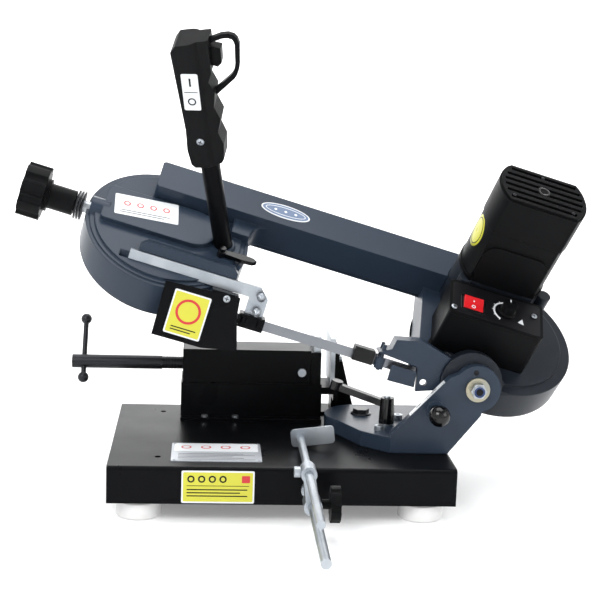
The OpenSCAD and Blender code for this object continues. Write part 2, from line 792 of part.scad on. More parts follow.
// Plate under the slider, inside the case, with a slot for the axle.
module slider_cover() {
    color("#30353f") on_head() difference() {
        rounded_box(idler_u - 25, idler_u + 54, wheel_v - 30, wheel_v + 30, 17, 20, 4);
        box(idler_u - 9, idler_u + 13, wheel_v - 8, wheel_v + 8, 16, 21);
    }
}

module tension_screw() {
    color("#8b9096") on_head() {
        rod_x(16, -384, idler_u - 46, wheel_v, 22);
        rod_x(10, idler_u - 47, idler_u - 30.3, wheel_v, 22);
    }
}

module tension_knob() {
    color("#17181b") on_head() translate([-405, wheel_v, 22]) rotate([0, 90, 0]) difference() {
        union() {
            lobed(70, 8, 30);
            rod(42, 35);
            rod(33, 68.5);
        }
        rod(16.02, 60, [0, 0, 20.9]);
    }
}

module spring_washers() {
    color("#7e838a") on_head() for (i = [0:2]) translate([-336.4 + i * 3.8, wheel_v, 22])
        rotate([0, 90, 0]) rotate_extrude($fn = 96) polygon([[8.4, 0], [19, 2], [19, 4.2], [8.4, 2.2]]);
}

module blade() {
    guide_l = -88;
    guide_r = 104;
    mid = wheel_r + blade_t / 2;
    steps = 12;
    left = [for (a = [90:5:270]) blade_section(idler_u + mid * cos(a), wheel_v + mid * sin(a), a, 0)];
    down = [for (i = [1:steps]) let (share = i / steps)
        blade_section(idler_u + (guide_l - idler_u) * share, -blade_t / 2, -90, -wheel_tilt * share)];
    back = [for (i = [0:steps - 1]) let (share = i / steps)
        blade_section(guide_r + (drive_u - guide_r) * share, -blade_t / 2, -90, -wheel_tilt * (1 - share))];
    right = [for (a = [-90:5:90]) blade_section(drive_u + mid * cos(a), wheel_v + mid * sin(a), a, 0)];
    loop = concat(left, down, back, right);
    count = len(loop);
    color("#a9aeb5") on_head() polyhedron(points = [for (section = loop, corner = section) corner],
        faces = [for (i = [0:count - 1], k = [0:3], half = [0, 1])
            let (j = (i + 1) % count, l = (k + 1) % 4)
            half == 0 ? [4 * i + k, 4 * j + l, 4 * j + k] : [4 * i + k, 4 * i + l, 4 * j + l]]);
}

// Four corners of the band at a place on its loop: out is the direction away from the loop, turn its twist.
function blade_section(u, v, out, turn) = [for (c = [[-1, -1], [1, -1], [1, 1], [-1, 1]])
    let (s = c[0] * blade_t / 2, w = c[1] * blade_w / 2)
    [u + s * cos(out), v + s * sin(out) * cos(turn) - w * sin(turn), w * cos(turn) + s * sin(out) * sin(turn)]];

// ---------- drive train ----------

module output_gear() {
    color("#8b7a4a") on_head() translate([drive_u, wheel_v, 30]) rotate(lay_dir) difference() {
        gear(out_teeth, gear_mod, 13);
        rod(18, 40, [0, 0, -10]);
    }
}

module lay_gears() {
    color("#7f848b") on_head() translate([lay_u, lay_v, 0]) {
        translate([0, 0, 30]) rotate(lay_dir + 180 + 180 / lay_pinion_teeth)
            gear(lay_pinion_teeth, gear_mod, 17);
        translate([0, 0, 46.5]) rotate(motor_dir) gear(lay_teeth, lay_mod, 9);
        rod(10, 35, [0, 0, 27]);
    }
}

// Outline of the motor: two round sides and two flats, centred on the axis.
module motor_2d(w, flat) {
    intersection() {
        circle(d = w, $fn = 128);
        square([w + 2, flat], center = true);
    }
}

module gear_case() {
    color("#2b2d31") on_head() difference() {
        union() {
            translate([motor_u, motor_v, 24.3]) linear_extrude(height = motor_n - 24.6)
                motor_2d(motor_w + 2, motor_flat + 2);
            translate([drive_u, wheel_v, 24.3]) cylinder(r = 34, h = 24.2, $fn = 96);
            for (p = gear_ears) rod(18, 20, [p[0], p[1], motor_n - 20.3]);
        }
        translate([drive_u, wheel_v, 23]) cylinder(r = 31.5, h = 22.5, $fn = 96);
        translate([lay_u, lay_v, 26.5]) cylinder(r = 27.5, h = 34, $fn = 96);
        translate([lay_u, lay_v, 20]) cylinder(r = 5.05, h = 50, $fn = 64);
        translate([motor_u, motor_v, 44]) cylinder(r = 20, h = 60, $fn = 96);
        box(box_u0 - 0.3, box_u1 + 0.3, box_v0, box_v1 + 0.3, 49, box_n1 + 3);
    }
}

module motor_rotor() {
    color("#a77b4a") on_head() translate([motor_u, motor_v, 0]) {
        translate([0, 0, 46.5]) rotate(motor_dir + 180 + 180 / motor_teeth) gear(motor_teeth, lay_mod, 10.5);
        rod(8, motor_n + motor_l + cap_l - 62, [0, 0, 46.5]);
        rod(56, 50, [0, 0, motor_n + 16]);
        rod(34, 18, [0, 0, motor_n + 72]);
        rod(60, 8, [0, 0, motor_n + 4]);
    }
}

module motor_body() {
    color("#131417") on_head() translate([motor_u, motor_v, motor_n]) difference() {
        union() {
            linear_extrude(height = motor_l) motor_2d(motor_w - 1, motor_flat - 1);
            linear_extrude(height = 6) motor_2d(motor_w + 2, motor_flat + 2);
            // Raised panel on each flat side.
            translate([0, motor_flat / 2 + 2, 0]) rotate([90, 0, 0]) linear_extrude(height = motor_flat + 4)
                rounded_rect(-43, 43, 0, motor_l - 20, 18);
        }
        translate([0, 0, -1]) cylinder(d = 66, h = motor_l + 2, $fn = 96);
    }
}

// Half length of an air slot, by its place across the cap.
function slot_half(i) = sqrt(pow(motor_w / 2 - 4, 2) - pow(abs(i) * 11 + 2.6, 2)) - 1;

module motor_cap() {
    color("#141518") on_head() translate([motor_u, motor_v, motor_n + motor_l + 0.2]) difference() {
        union() {
            linear_extrude(height = cap_l - 3) motor_2d(motor_w + 2, motor_flat);
            translate([0, 0, cap_l - 3 - eps]) linear_extrude(height = 3) motor_2d(motor_w - 3, motor_flat - 4);
        }
        translate([0, 0, -1]) cylinder(d = 68, h = cap_l - 7, $fn = 96);
        // Air slots, left whole round the centre.
        for (i = [-2.5:2.5]) difference() {
            translate([-slot_half(i), i * 11 - 2.6, cap_l - 4.5]) cube([2 * slot_half(i), 5.2, 8]);
            rod(17, 20, [0, 0, cap_l - 10]);
        }
    }
}

// ---------- controls ----------

module control_box() {
    wall = 2.5;
    color("#121316") on_head() difference() {
        rounded_box(box_u0, box_u1, box_v0, box_v1, box_n0, box_n1 - 3, 6);
        rounded_box(box_u0 + wall, box_u1 - wall, box_v0 + wall, box_v1 - wall, box_n0 + wall, box_n1, 4);
        translate([drive_u, wheel_v, 20]) cylinder(r = 34.4, h = 29, $fn = 96);
    }
}

module control_panel() {
    color("#18191c") on_head() difference() {
        rounded_box(box_u0, box_u1, box_v0, box_v1, box_n1 - 2.8, box_n1, 6);
        box(rocker_u - 15.2, rocker_u + 15.2, rocker_v - 11.2, rocker_v + 11.2, box_n1 - 5, box_n1 + 2);
        rod(7.1, 10, [knob_u, knob_v, box_n1 - 5]);
        for (p = panel_places) rod(4.1, 10, [p[0], p[1], box_n1 - 5]);
    }
    color("#c0c4c9") on_head() for (p = panel_places) {
        rod(4, 9, [p[0], p[1], box_n1 - 9]);
        rod(8, 2, [p[0], p[1], box_n1 + 0]);
    }
}

module rocker_switch() {
    color("#c31f24") on_head() translate([rocker_u, rocker_v, box_n1 - 3]) rotate([90, 0, 90])
        linear_extrude(height = 26, center = true)
            polygon([[-10, -2], [10, -2], [10.3, 7], [0, 4.6], [-10.3, 4.2]]);
}

module speed_knob() {
    color("#1a1b1e") on_head() translate([knob_u, knob_v, box_n1 + 0.5]) {
        rotate_extrude($fn = 96) polygon([[0, 0], [12, 0], [12, 3], [10, 4], [9.4, 15], [0, 16]]);
        rod(7, 9, [0, 0, -8.6]);
    }
}

// ---------- guides ----------

module guide_bar() {
    color("#a4a9b0") on_blade() difference() {
        translate([0, 5, 0]) rotate([90, 0, 0]) linear_extrude(height = 10)
            polygon([[-250, bar_w0], [-90, bar_w0], [-90, 10], [-66, 10], [-66, 34], [-78, bar_w1],
                [-250, bar_w1]]);
        for (z = [16, 36]) rod_y(6.2, -76, -10, 10, z);
    }
}

module left_guide() {
    color("#1a1b1f") on_blade() difference() {
        union() {
            box(-95, -62, -12, 12, -8, 9.6);
            rod_y(10, -76, -16, 9, 16);
            rod_y(10, -76, -16, 9, 36);
        }
        box(-96, -61, -1.2, 1.2, -9, 7.2);
        box(-91, -65, -5.2, 5.2, 9.8, 60);
    }
    color("#c3c7cc") on_blade() for (x = [-89, -68], y = [-6, 6]) translate([x, y * 1.7, -2]) rod(8, 8);
}

module blade_guard() {
    color("#14151a") on_blade() difference() {
        translate([0, -26, 0]) rotate([90, 0, 0]) linear_extrude(height = 2)
            polygon([[-197, 24], [-102, 30], [-99, 6], [-86, -36], [-131, -45], [-195, -46]]);
        rod_y(5.2, -118, -30, 0, 24);
    }
    color("#14151a") on_blade() box(-138, -104, -26.1, -5.3, 27.9, bar_w0 - 0.2);
}

module right_guide() {
    color("#4a4e57") on_blade() difference() {
        translate([0, 14, 0]) rotate([90, 0, 0]) linear_extrude(height = 28)
            polygon([[88, 13], [104, 22], [106, 35], [140, 43], [190, 30], [205, -2], [150, -22], [143, 9]]);
        box(80, 210, -6, 30, -30, 12);
        rod_y(9, 156, -30, 30, -8);
        front_boss(0.1);
        rotate([wheel_tilt, 0, 0]) {
            translate([drive_u, wheel_v, frame_low - 20]) cylinder(r = case_r + 0.1, h = 60, $fn = 128);
            box(139.9, 188.1, 23.9, beam_v1, frame_low - 1, 24.1);
            box(box_u0 - 0.2, box_u1, box_v0 - 0.2, box_v1, 24, box_n1);
        }
    }
    color("#17181c") on_blade() difference() {
        box(59, 86, -9, 9, -7, 11.6);
        box(58, 100, -1.2, 1.2, -9, 7.2);
    }
    color("#c3c7cc") on_blade() for (y = [-8.2, 8.2]) translate([95, y, -8]) tube(12, 5, 15);
    color("#17181c") on_blade() translate([0, -15, 0]) rotate([90, 0, 0]) linear_extrude(height = 2)
        polygon([[109, 3], [143, 3], [146, -17], [110, -18]]);
    color("#c3c7cc") on_blade() for (y = [-8.2, 8.2]) rod(5, 34, [95, y, -10]);
}

module guide_lever() {
    color("#1b1c20") on_head() translate([lever_u, lever_v, 31.4]) {
        rod(11, 9);
        translate([0, 0, 2]) linear_extrude(height = 6)
            polygon([[0, -3.5], [28, -5.5], [42, -4], [47, 0], [42, 4], [28, 5.5], [0, 3.5]]);
    }
    color("#c3c7cc") on_head() translate([lever_u, lever_v, 40.3]) rod(8, 5);
}

// ---------- handle ----------

module handle_tube() {
    color("#15161a") on_grip() rod(tube_d, 150);
}

// Outline of the grip in the plane of the head's length and height.
grip_pts = [[-219, 176], [-209, 157], [-203, 154], [-180, 163], [-174, 170], [-173, 176], [-179, 197],
    [-190, 211], [-192, 231], [-204, 245], [-208, 264], [-219, 276], [-219, 290], [-234, 330],
    [-268, 312], [-271, 302], [-228, 204]];

module grip_slab(y, h, pts) {
    on_head() translate([0, y + h, 0]) rotate([90, 0, 0]) linear_extrude(height = h) polygon(pts);
}

module handle_grip() {
    width = 38;
    color("#17181b") difference() {
        union() {
            grip_slab(grip_v - width / 2 + 5, width - 10, grip_pts);
            intersection() {
                grip_slab(grip_v - width / 2, width, grip_pts);
                on_grip() linear_extrude(height = 400) rounded_rect(-34, 12, -19, 19, 14);
            }
        }
        on_grip() rod(tube_d + 0.02, 151);
        // Pocket of the trigger, open towards the guard.
        grip_slab(grip_v - 7.3, 14.6, [[-236, 322], [-216, 322], [-210, 292], [-228, 292]]);
        grip_slab(grip_v - 3.1, 6.2, guard_pts);
    }
}

guard_pts = [[-235, 325], [-222, 337], [-214, 341], [-207, 341], [-202, 338], [-198, 332], [-191, 308],
    [-189.5, 300], [-189.5, 292], [-191, 285], [-205, 256], [-210, 261], [-197, 287], [-195, 293],
    [-195, 300], [-196, 306], [-203, 329], [-205.5, 333], [-208, 335], [-213, 335], [-219, 332], [-231, 321]];

module handle_guard() {
    color("#1b1c1f") grip_slab(grip_v - 3, 6, guard_pts);
}

module trigger() {
    color("#26272b")
        grip_slab(grip_v - 6.5, 13, [[-231, 319], [-217, 321], [-211, 302], [-214, 296], [-224, 296]]);
}

base_tray();
feet();
foot_bolts();
data_plate();
vise_bed();
vise_bed_bolts();
fixed_jaw_bracket();
fixed_jaw_plate();
moving_jaw();
moving_jaw_plate();
jaw_bolt();
vise_screw();
vise_bar();
stop_rod();
stop_clamp();
stop_clamp_bolt();
stop_arm();
stop_knob();
swivel_arm();
swivel_bolt();
arm_bolts();
lock_stud();
lock_lever();
hinge_bolt();
hinge_spacer();
hinge_nut();
lock_pin();
head_frame();
drive_housing();
blade_cover();
cover_screws();
drive_wheel();
drive_shaft();
shaft_bearings();
idler_wheel();
tension_slider();
slider_cover();
tension_screw();
tension_knob();
spring_washers();
blade();
output_gear();
lay_gears();
gear_case();
motor_rotor();
motor_body();
motor_cap();
control_box();
control_panel();
rocker_switch();
speed_knob();
guide_bar();
left_guide();
blade_guard();
guide_lever();
right_guide();
handle_tube();
handle_grip();
handle_guard();
trigger();
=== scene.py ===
import json
import math

import bmesh
import bpy
from mathutils import Matrix, Vector


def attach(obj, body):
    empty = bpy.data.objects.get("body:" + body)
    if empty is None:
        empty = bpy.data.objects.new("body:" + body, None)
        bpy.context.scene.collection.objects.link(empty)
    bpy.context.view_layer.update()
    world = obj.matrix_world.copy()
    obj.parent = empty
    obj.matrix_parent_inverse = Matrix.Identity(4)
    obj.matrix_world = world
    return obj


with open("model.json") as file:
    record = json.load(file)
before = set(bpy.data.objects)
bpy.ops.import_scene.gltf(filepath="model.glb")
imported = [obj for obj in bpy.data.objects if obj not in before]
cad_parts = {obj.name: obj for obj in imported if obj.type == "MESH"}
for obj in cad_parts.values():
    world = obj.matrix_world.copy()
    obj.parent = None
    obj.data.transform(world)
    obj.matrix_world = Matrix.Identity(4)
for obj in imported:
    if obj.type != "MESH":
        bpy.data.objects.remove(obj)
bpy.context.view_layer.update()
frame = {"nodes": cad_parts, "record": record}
nodes = frame["nodes"]

# ---------- frames shared with the CAD, in millimetres ----------
ORIGIN = Vector((238, 28, 0))
LINE = Vector((249, 105, 210))
RAISE = math.radians(16)
TILT = math.radians(33.5)


def base_frame():
    return Matrix.Scale(0.001, 4) @ Matrix.Translation(-ORIGIN)


def blade_frame():
    return base_frame() @ Matrix.Translation(LINE) @ Matrix.Rotation(RAISE, 4, "Y")


def head_frame():
    return blade_frame() @ Matrix.Rotation(TILT, 4, "X")


BASE, BLADE, HEAD = base_frame(), blade_frame(), head_frame()
TO_FRONT = (0, -1, 0)
TO_BACK = (0, 1, 0)
UPWARD = (0, 0, 1)


def at(m, x, y, z):
    return m @ Matrix.Translation((x, y, z))


def facing(m, x, y, z, normal, up):
    """A flat drawing plane at a place in frame m: +Z along normal, +Y towards up."""
    n = Vector(normal).normalized()
    right = Vector(up).cross(n).normalized()
    top = n.cross(right)
    turn = Matrix((right, top, n)).transposed().to_4x4()
    return m @ Matrix.Translation((x, y, z)) @ turn


# ---------- materials ----------
MAT = {}


def material(name, rgb, rough=0.4, metal=0.0, coat=0.0, grain=0.0, grain_size=60.0, vary=0.08,
             stretch=None, tint=None, wear=0.0, shine=0.5):
    """Adds a surface to MAT: vary is the spread of its roughness, grain its bump, tint a second colour in
    patches, wear the radius over which its edges catch the light."""
    m = bpy.data.materials.new(name)
    m.use_nodes = True
    t = m.node_tree
    p = t.nodes["Principled BSDF"]
    p.inputs["Base Color"].default_value = (*rgb, 1)
    p.inputs["Roughness"].default_value = rough
    p.inputs["Metallic"].default_value = metal
    p.inputs["Coat Weight"].default_value = coat
    p.inputs["Coat Roughness"].default_value = 0.15
    p.inputs["Specular IOR Level"].default_value = shine
    where = t.nodes.new("ShaderNodeTexCoord").outputs["Object"]
    if stretch:
        mapping = t.nodes.new("ShaderNodeMapping")
        mapping.inputs["Scale"].default_value = stretch
        t.links.new(where, mapping.inputs["Vector"])
        where = mapping.outputs["Vector"]

    def noise(scale, detail=4.0):
        n = t.nodes.new("ShaderNodeTexNoise")
        n.inputs["Scale"].default_value = scale
        n.inputs["Detail"].default_value = detail
        t.links.new(where, n.inputs["Vector"])
        return n.outputs["Fac"]

    if vary:
        r = t.nodes.new("ShaderNodeMapRange")
        r.inputs["To Min"].default_value = max(0.03, rough - vary)
        r.inputs["To Max"].default_value = min(1.0, rough + vary)
        t.links.new(noise(grain_size * 0.25), r.inputs["Value"])
        t.links.new(r.outputs["Result"], p.inputs["Roughness"])
    if tint:
        mix = t.nodes.new("ShaderNodeMix")
        mix.data_type = "RGBA"
        mix.inputs["A"].default_value = (*rgb, 1)
        mix.inputs["B"].default_value = (*tint, 1)
        ramp = t.nodes.new("ShaderNodeMapRange")
        ramp.inputs["From Min"].default_value = 0.35
        ramp.inputs["From Max"].default_value = 0.7
        t.links.new(noise(grain_size * 0.5), ramp.inputs["Value"])
        t.links.new(ramp.outputs["Result"], mix.inputs["Factor"])
        t.links.new(mix.outputs["Result"], p.inputs["Base Color"])
    height = None
    if grain:
        height = t.nodes.new("ShaderNodeBump")
        height.inputs["Strength"].default_value = grain
        height.inputs["Distance"].default_value = 0.0004
        t.links.new(noise(grain_size * 12), height.inputs["Height"])
    if wear:
        edge = t.nodes.new("ShaderNodeBevel")
        edge.samples = 4
        edge.inputs["Radius"].default_value = wear
        if height:
            t.links.new(edge.outputs["Normal"], height.inputs["Normal"])
        else:
            t.links.new(edge.outputs["Normal"], p.inputs["Normal"])
    if height:
        t.links.new(height.outputs["Normal"], p.inputs["Normal"])
    MAT[name] = m


# Radii in metres over which edges catch the light: machined and folded parts, fittings, and castings.
EDGE = 0.0009
FINE_EDGE = EDGE * 0.6
SOFT_EDGE = EDGE * 2
CAST_EDGE = 0.0022
BRUSHED_X = (0.05, 1, 1)
BRUSHED_Y = (1, 0.05, 1)
ZINC_RGB = (0.42, 0.45, 0.48)
PLASTIC_RGB = (0.0026, 0.0028, 0.0032)

# Paints and plastics.
material("black_paint", (0.0026, 0.0028, 0.0034), 0.30, grain=0.10, wear=EDGE, shine=0.06)
material("frame_paint", (0.0185, 0.029, 0.047), 0.33, coat=0.05, grain=0.12, wear=CAST_EDGE, shine=0.22)
material("housing_paint", (0.0095, 0.0125, 0.018), 0.34, coat=0.02, grain=0.16, wear=CAST_EDGE, shine=0.20)
material("black_plastic", PLASTIC_RGB, 0.42, grain=0.35, grain_size=110, wear=EDGE, shine=0.07)
material("gloss_black", (0.002, 0.002, 0.0025), 0.16, wear=EDGE, shine=0.35)
material("grip_rubber", (0.0035, 0.0038, 0.0042), 0.52, grain=0.45, grain_size=120, wear=SOFT_EDGE,
         shine=0.10)
material("foot_rubber", (0.70, 0.70, 0.69), 0.55, grain=0.1, wear=EDGE)
material("seal_rubber", (0.003, 0.003, 0.003), 0.75, grain=0.3, shine=0.1)
material("red_plastic", (0.50, 0.010, 0.014), 0.24, coat=0.3, wear=EDGE)
material("nylon_blue", (0.010, 0.030, 0.11), 0.4, vary=0.05)
# Metals.
material("zinc", ZINC_RGB, 0.34, metal=0.9, grain=0.10, tint=(0.31, 0.34, 0.38), wear=FINE_EDGE)
material("yellow_zinc", (0.36, 0.33, 0.24), 0.34, metal=0.9, grain=0.1, tint=(0.28, 0.29, 0.26),
         wear=FINE_EDGE)
material("steel", (0.36, 0.38, 0.40), 0.32, metal=0.9, grain=0.08, wear=FINE_EDGE)
material("dark_steel", (0.022, 0.023, 0.026), 0.32, metal=0.6, grain=0.08, wear=FINE_EDGE, shine=0.3)
material("spring_steel", (0.20, 0.21, 0.23), 0.32, metal=0.9, grain=0.06, stretch=BRUSHED_X)
material("cast", (0.13, 0.135, 0.14), 0.55, metal=0.6, grain=0.4, wear=EDGE)
material("alu", (0.40, 0.42, 0.45), 0.38, metal=0.7, grain=0.05, stretch=BRUSHED_Y)
material("copper", (0.55, 0.30, 0.14), 0.35, metal=0.9, grain=0.2)
material("gear_brass", (0.55, 0.42, 0.20), 0.35, metal=0.9, grain=0.1)
# Printed labels.
material("label_white", (0.66, 0.68, 0.70), 0.35, coat=0.1, vary=0.04)
material("label_yellow", (0.52, 0.50, 0.030), 0.34, coat=0.1, vary=0.04)
material("label_red", (0.50, 0.015, 0.018), 0.35, coat=0.1, vary=0.04)
material("label_black", (0.004, 0.004, 0.005), 0.38, vary=0.04, shine=0.2)
material("label_blue", (0.10, 0.15, 0.25), 0.36, coat=0.1, vary=0.04)
# The stage glows a little, so that it stays white under a soft light.
material("floor", (0.84, 0.84, 0.84), 0.8, vary=0.03, shine=0.05)
glow = MAT["floor"].node_tree.nodes["Principled BSDF"]
glow.inputs["Emission Color"].default_value = (1, 1, 1, 1)
glow.inputs["Emission Strength"].default_value = 0.22

slot_of = {s["node"]: s["material_slot"] for s in frame["record"]["subparts"]}
special = {"right_guide": "frame_paint", "cover_screws": "steel"}
for name in ("vise_screw", "vise_bar", "spring_washers", "swivel_bolt", "hinge_bolt"):
    special[name] = "dark_steel"
for name, obj in nodes.items():
    obj.data.materials.clear()
    obj.data.materials.append(MAT[special.get(name, slot_of[name])])


def two_tone(node, m, axis, edge, rgb, metal, rough):
    """Gives the side of a node that lies beyond a plane of frame m its own colour, metal and roughness."""
    obj = nodes[node]
    mat = obj.data.materials[0].copy()
    mat.name = node + "_two_tone"
    obj.data.materials[0] = mat
    t = mat.node_tree
    p = t.nodes["Principled BSDF"]
    local = obj.matrix_world.inverted() @ m
    way = Vector(axis)
    normal = (local.to_3x3() @ way).normalized()
    place = local @ (way * edge)
    dot = t.nodes.new("ShaderNodeVectorMath")
    dot.operation = "DOT_PRODUCT"
    t.links.new(t.nodes.new("ShaderNodeTexCoord").outputs["Object"], dot.inputs[0])
    dot.inputs[1].default_value = normal
    beyond = t.nodes.new("ShaderNodeMath")
    beyond.operation = "GREATER_THAN"
    beyond.inputs[1].default_value = normal.dot(place)
    t.links.new(dot.outputs["Value"], beyond.inputs[0])
    colour = t.nodes.new("ShaderNodeMix")
    colour.data_type = "RGBA"
    colour.inputs["A"].default_value = p.inputs["Base Color"].default_value
    colour.inputs["B"].default_value = (*rgb, 1)
    if p.inputs["Base Color"].links:
        t.links.new(p.inputs["Base Color"].links[0].from_socket, colour.inputs["A"])
    t.links.new(beyond.outputs["Value"], colour.inputs["Factor"])
    t.links.new(colour.outputs["Result"], p.inputs["Base Color"])
    for socket, value in (("Metallic", metal), ("Roughness", rough)):
        mix = t.nodes.new("ShaderNodeMix")
        mix.inputs["A"].default_value = p.inputs[socket].default_value
        mix.inputs["B"].default_value = value
        if p.inputs[socket].links:
            t.links.new(p.inputs[socket].links[0].from_socket, mix.inputs["A"])
        t.links.new(beyond.outputs["Value"], mix.inputs["Factor"])
        t.links.new(mix.outputs["Result"], p.inputs[socket])


# The tab over the moving jaw is bare zinc, and the blade block at the left of the right guide is black.
two_tone("moving_jaw_plate", BASE, (0, 0, 1), 166, (0.40, 0.43, 0.46), 0.9, 0.34)
two_tone("right_guide", BLADE, (-1, 0, 0), -87.5, PLASTIC_RGB, 0.0, 0.42)


# ---------- piece builders ----------
def add(name, bm, m, mat, body, bevel=0.0, smooth=False):
    """Puts a bmesh drawn in millimetres into the scene through frame m, riding on a body."""
    bmesh.ops.recalc_face_normals(bm, faces=bm.faces)
    mesh = bpy.data.meshes.new(name)
    bm.to_mesh(mesh)
    bm.free()
    mesh.transform(m)
    if m.determinant() < 0:
        mesh.flip_normals()
    if smooth:
        mesh.polygons.foreach_set("use_smooth", [True] * len(mesh.polygons))
    mesh.materials.append(MAT[mat])
    obj = bpy.data.objects.new(name, mesh)
    bpy.context.scene.collection.objects.link(obj)
    if bevel:
        b = obj.modifiers.new("edge", "BEVEL")
        b.width = bevel / 1000
        b.segments = 2
        b.limit_method = "ANGLE"
    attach(obj, body)
    return obj


def prism(bm, pts, z0, z1):
    """Closed solid over a flat outline."""
    low = [bm.verts.new((x, y, z0)) for x, y in pts]
    high = [bm.verts.new((x, y, z1)) for x, y in pts]
    bm.faces.new(low[::-1])
    bm.faces.new(high)
    for i in range(len(pts)):
        j = (i + 1) % len(pts)
        bm.faces.new((low[i], low[j], high[j], high[i]))


def band(bm, outer, inner, z0, z1):
    """Ring between two outlines with the same number of points."""
    n = len(outer)
    rings = [[bm.verts.new((x, y, z)) for x, y in pts] for pts in (outer, inner) for z in (z0, z1)]
    o0, o1, i0, i1 = rings
    for k in range(n):
        j = (k + 1) % n
        bm.faces.new((o0[k], o0[j], o1[j], o1[k]))
        bm.faces.new((i0[j], i0[k], i1[k], i1[j]))
        bm.faces.new((o1[k], o1[j], i1[j], i1[k]))
        bm.faces.new((o0[j], o0[k], i0[k], i0[j]))


def rounded(w, h, r, cx=0.0, cy=0.0, steps=6):
    pts = []
    for qx, qy, a in ((1, 1, 0), (-1, 1, 90), (-1, -1, 180), (1, -1, 270)):
        for k in range(steps + 1):
            t = math.radians(a + 90 * k / steps)
            pts.append((cx + qx * (w / 2 - r) + r * math.cos(t), cy + qy * (h / 2 - r) + r * math.sin(t)))
    return pts


def ellipse(w, h, cx=0.0, cy=0.0, steps=48):
    turns = [2 * math.pi * k / steps for k in range(steps)]
    return [(cx + w / 2 * math.cos(t), cy + h / 2 * math.sin(t)) for t in turns]


def circle_verts(bm, r, z, steps):
    """Ring of loose vertices about local Z."""
    turns = [2 * math.pi * k / steps for k in range(steps)]
    return [bm.verts.new((r * math.cos(t), r * math.sin(t), z)) for t in turns]


def sticker(name, m, pts, mat, body, lift=0.05, thick=0.3):
    bm = bmesh.new()
    prism(bm, pts, lift - 0.3, lift + thick)
    return add(name, bm, m, mat, body, bevel=0.08)


def marks(name, m, shapes, mat, body, z=0.35, thick=0.12):
    """Several small flat shapes as one printed piece."""
    bm = bmesh.new()
    for pts in shapes:
        prism(bm, pts, z - 0.1, z + thick)
    return add(name, bm, m, mat, body)


def ring_mark(name, m, w, h, line, mat, body, z=0.35, cx=0.0, cy=0.0):
    bm = bmesh.new()
    band(bm, ellipse(w, h, cx, cy), ellipse(w - 2 * line, h - 2 * line, cx, cy), z - 0.1, z + 0.12)
    return add(name, bm, m, mat, body)


def rect(x0, x1, y0, y1):
    return [(x0, y0), (x1, y0), (x1, y1), (x0, y1)]


def dots(d, r, places):
    return [rounded(d, d, r, x, y) for x, y in places]


def turned(pts, deg, cx=0.0, cy=0.0):
    c, s = math.cos(math.radians(deg)), math.sin(math.radians(deg))
    return [(cx + x * c - y * s, cy + x * s + y * c) for x, y in pts]


def lathe(name, m, profile, mat, body, steps=48):
    """Turned part about local Z from (radius, height) pairs."""
    bm = bmesh.new()
    rows = []
    for r, z in profile:
        if r < 1e-6:
            rows.append([bm.verts.new((0, 0, z))])
        else:
            rows.append(circle_verts(bm, r, z, steps))
    for a, b in zip(rows, rows[1:]):
        for k in range(steps):
            j = (k + 1) % steps
            if len(a) == 1 and len(b) > 1:
                bm.faces.new((a[0], b[k], b[j]))
            elif len(b) == 1 and len(a) > 1:
                bm.faces.new((a[k], a[j], b[0]))
            elif len(a) > 1:
                bm.faces.new((a[k], a[j], b[j], b[k]))
    return add(name, bm, m, mat, body, bevel=0.0, smooth=True)


def screw_head(name, m, d, body, mat="zinc", cross=True, h=1.6):
    """Pan head with a cross or hex recess. The recess is a flat black mark of painted shade, not a cut."""
    bm = bmesh.new()
    steps = 32
    rows = [(d / 2, -0.2), (d / 2, h * 0.45), (d * 0.42, h * 0.8), (d * 0.3, h)]
    loops = [circle_verts(bm, r, z, steps) for r, z in rows]
    for a, b in zip(loops, loops[1:]):
        for k in range(steps):
            bm.faces.new((a[k], a[(k + 1) % steps], b[(k + 1) % steps], b[k]))
    bm.faces.new(loops[-1])
    bm.faces.new(loops[0][::-1])
    obj = add(name, bm, m, mat, body, smooth=True)
    # Painted shade: a thin black cross or hexagon on top stands in for the dark hollow of the recess.
    bm = bmesh.new()
    if cross:
        prism(bm, rect(-d * 0.28, d * 0.28, -d * 0.06, d * 0.06), h - 0.2, h + 0.06)
        prism(bm, rect(-d * 0.06, d * 0.06, -d * 0.28, d * 0.28), h - 0.2, h + 0.06)
    else:
        prism(bm, ellipse(d * 0.5, d * 0.5, steps=6), h - 0.2, h + 0.06)
    add(name + "_recess_shade", bm, m, "label_black", body)
    return obj


# ---------- base: labels and plate ----------
front = facing(BASE, 135.5, 0, 46, TO_FRONT, UPWARD)
FRONT_DOTS = [(-33 + 13 * k, 10) for k in range(4)]
front_lines = [rect(-38, 38, 1.2, 1.9)]
front_lines += [rect(-38, 36 - 9 * (k % 2), -4 - 4 * k, -2.6 - 4 * k) for k in range(3)]
sticker("front_label_border", front, rounded(89, 41, 2), "label_white", "base")
sticker("front_label", front, rounded(85, 37, 1.5), "label_yellow", "base", lift=0.2)
marks("front_label_marks", front, dots(9, 4.4, FRONT_DOTS) + front_lines, "label_black", "base", z=0.5)
marks("front_label_inner", front, dots(5, 2.4, FRONT_DOTS), "label_yellow", "base", z=0.62)
marks("front_label_red", front, [rounded(10, 9, 1, 34, 10)], "label_red", "base", z=0.5)

